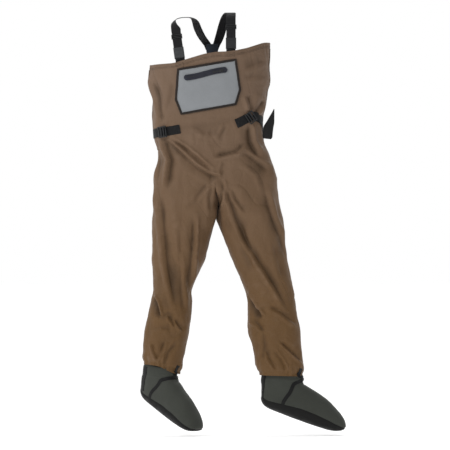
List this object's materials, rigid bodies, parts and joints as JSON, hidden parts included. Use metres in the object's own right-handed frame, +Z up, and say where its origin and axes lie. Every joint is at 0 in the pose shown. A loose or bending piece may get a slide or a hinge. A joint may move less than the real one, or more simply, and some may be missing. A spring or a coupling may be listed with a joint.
{
  "type": "chest waders",
  "caption": "Stocking-foot chest waders: a bib with a zipped chest pocket, waist belt and braces, jointed legs and neoprene booties, hung up by the braces.",
  "frame": {"origin": "level with the top of the braces, midway between the chest's sides and between front and back, where a hanger or the shoulders carry the waders", "axes": "+Z up, the front of the bib faces -Y, the wearer's right leg is on -X"},
  "size_m": [0.7678, 0.2611, 1.5762],
  "materials": {
    "upper_fabric": "matte coated nylon",
    "lower_fabric": "matte coated nylon, warmer and darker",
    "pocket_fabric": "matte grey nylon",
    "seam_binding": "dark woven binding",
    "zipper_tape": "coated water-resistant tape",
    "zipper_coil": "satin coil",
    "zipper_metal": "black painted die casting",
    "webbing": "ribbed webbing",
    "elastic": "ribbed elastic",
    "buckle_plastic": "moulded acetal",
    "patch": "dark bluish grey patch",
    "neoprene": "jersey-faced neoprene",
    "seam_tape": "glued tape",
    "sole_rubber": "textured rubber"
  },
  "bodies": {
    "bib": {"bib_front_panel": "upper_fabric", "bib_back_panel": "upper_fabric", "crotch_gusset": "lower_fabric", "top_hem": "upper_fabric", "left_side_tape": "seam_binding", "right_side_tape": "seam_binding", "pocket_panel": "pocket_fabric", "pocket_binding": "seam_binding", "zipper_tape": "zipper_tape", "zipper_teeth": "zipper_coil", "zipper_end_stops": "zipper_coil", "left_waist_tab": "webbing", "right_waist_tab": "webbing", "back_belt": "webbing", "belt_loops": "webbing", "left_strap_tab": "webbing", "right_strap_tab": "webbing", "left_buckle_socket": "buckle_plastic", "right_buckle_socket": "buckle_plastic", "left_shoulder_strap": "elastic", "right_shoulder_strap": "elastic", "yoke_patch_outer": "patch", "yoke_patch_inner": "patch", "back_strap": "elastic", "back_strap_anchor": "patch"},
    "left_upper_leg": {"left_thigh": "lower_fabric"},
    "left_lower_leg": {"left_shin": "lower_fabric", "left_ankle_cuff": "lower_fabric"},
    "left_foot": {"left_bootie_quarter": "neoprene", "left_bootie_vamp": "neoprene", "left_bootie_sole": "sole_rubber", "left_heel_tape": "seam_tape", "left_instep_tape": "seam_tape", "left_ankle_tape": "seam_tape"},
    "right_upper_leg": {"right_thigh": "lower_fabric"},
    "right_lower_leg": {"right_shin": "lower_fabric", "right_ankle_cuff": "lower_fabric"},
    "right_foot": {"right_bootie_quarter": "neoprene", "right_bootie_vamp": "neoprene", "right_bootie_sole": "sole_rubber", "right_heel_tape": "seam_tape", "right_instep_tape": "seam_tape", "right_ankle_tape": "seam_tape"},
    "left_buckle_half": {"left_buckle_plug": "buckle_plastic", "left_strap_webbing": "elastic"},
    "left_adjuster": {"left_triglide": "buckle_plastic"},
    "right_buckle_half": {"right_buckle_plug": "buckle_plastic", "right_strap_webbing": "elastic"},
    "right_adjuster": {"right_triglide": "buckle_plastic"},
    "zipper_slider": {"zipper_slider": "zipper_metal"},
    "zipper_pull": {"zipper_pull": "zipper_metal"},
    "left_belt_lock": {"left_belt_lock": "buckle_plastic"},
    "right_belt_lock": {"right_belt_lock": "buckle_plastic"},
    "belt_tail": {"belt_tail": "webbing"}
  },
  "joints": [
    {"name": "left_hip", "type": "hinge", "parent": "bib", "child": "left_upper_leg", "pos_m": [-0.1, 0, -0.64], "axis": [-1, 0, 0], "range_deg": [-20, 60]},
    {"name": "left_knee", "type": "hinge", "parent": "left_upper_leg", "child": "left_lower_leg", "pos_m": [-0.135, 0, -0.985], "axis": [1, 0, 0], "range_deg": [0, 70]},
    {"name": "left_ankle", "type": "hinge", "parent": "left_lower_leg", "child": "left_foot", "pos_m": [-0.193, 0, -1.352], "axis": [0.5878, 0.809, 0], "range_deg": [-3, 12], "stiffness_Nm_per_rad": 6, "springref_deg": -1.72},
    {"name": "right_hip", "type": "hinge", "parent": "bib", "child": "right_upper_leg", "pos_m": [0.14, 0, -0.64], "axis": [-1, 0, 0], "range_deg": [-20, 60]},
    {"name": "right_knee", "type": "hinge", "parent": "right_upper_leg", "child": "right_lower_leg", "pos_m": [0.2, 0, -0.985], "axis": [1, 0, 0], "range_deg": [0, 70]},
    {"name": "right_ankle", "type": "hinge", "parent": "right_lower_leg", "child": "right_foot", "pos_m": [0.262, 0, -1.374], "axis": [0, 1, 0], "range_deg": [-12, 12], "stiffness_Nm_per_rad": 6, "springref_deg": -1.72},
    {"name": "left_buckle_release", "type": "slide", "parent": "bib", "child": "left_buckle_half", "axis": [-0.1316, 0.3256, 0.9363], "range_m": [0, 0.028]},
    {"name": "left_brace_adjust", "type": "slide", "parent": "bib", "child": "left_adjuster", "axis": [-0.1316, 0.3256, 0.9363], "range_m": [0, 0.018]},
    {"name": "right_buckle_release", "type": "slide", "parent": "bib", "child": "right_buckle_half", "axis": [0, 0.3256, 0.9455], "range_m": [0, 0.028]},
    {"name": "right_brace_adjust", "type": "slide", "parent": "bib", "child": "right_adjuster", "axis": [0, 0.3256, 0.9455], "range_m": [0, 0.018]},
    {"name": "zipper_slide", "type": "slide", "parent": "bib", "child": "zipper_slider", "axis": [-0.9806, 0, -0.1961], "range_m": [0, 0.115]},
    {"name": "zipper_pull_swing", "type": "hinge", "parent": "zipper_slider", "child": "zipper_pull", "pos_m": [0.03736, -0.1229, -0.21953], "axis": [-0.1961, 0, 0.9806], "range_deg": [0, 100]},
    {"name": "left_belt_lock_tilt", "type": "hinge", "parent": "bib", "child": "left_belt_lock", "pos_m": [-0.17003, -0.08993, -0.44622], "axis": [-0.1418, 0.0661, 0.9877], "range_deg": [0, 20]},
    {"name": "right_belt_lock_tilt", "type": "hinge", "parent": "bib", "child": "right_belt_lock", "pos_m": [0.13955, -0.09577, -0.40293], "axis": [0.565, 0.162, -0.809], "range_deg": [0, 20]},
    {"name": "belt_tail_swing", "type": "hinge", "parent": "bib", "child": "belt_tail", "pos_m": [0.198, -0.062, -0.474], "axis": [0, 1, 0], "range_deg": [0, 60], "stiffness_Nm_per_rad": 0.06, "springref_deg": -2.86}
  ]
}
